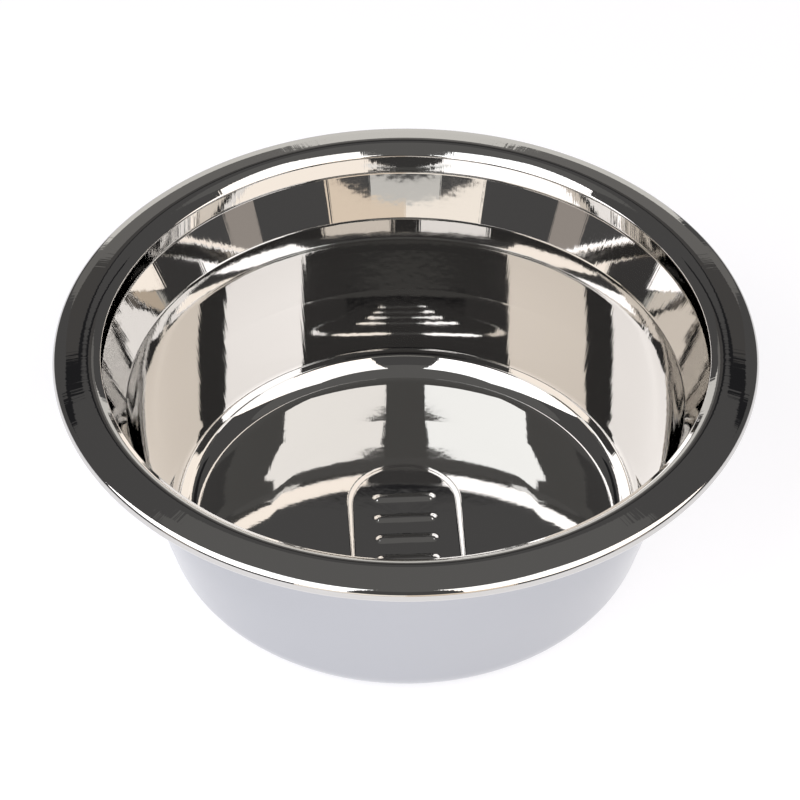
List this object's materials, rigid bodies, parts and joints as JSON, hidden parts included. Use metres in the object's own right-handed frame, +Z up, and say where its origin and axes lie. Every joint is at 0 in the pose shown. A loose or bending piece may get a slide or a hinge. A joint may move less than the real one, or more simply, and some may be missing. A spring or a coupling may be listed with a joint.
{
  "type": "stainless dog bowl",
  "caption": "Round pressed steel pet bowl with a wide flat flange, a curled outer edge, a wider band above a crease, tapering walls and a stadium-shaped pressed field on its floor.",
  "frame": {"origin": "centre of the base, on the surface that the bowl stands on", "axes": "+Z up along the bowl's axis, +Y along the length of the pressed field"},
  "size_m": [0.17, 0.17, 0.0624],
  "materials": {
    "polished_steel": "deep drawn stainless sheet, buffed to a mirror inside and on the rim, slightly softer outside"
  },
  "bodies": {
    "root": {"bowl_shell": "polished_steel"}
  },
  "joints": []
}
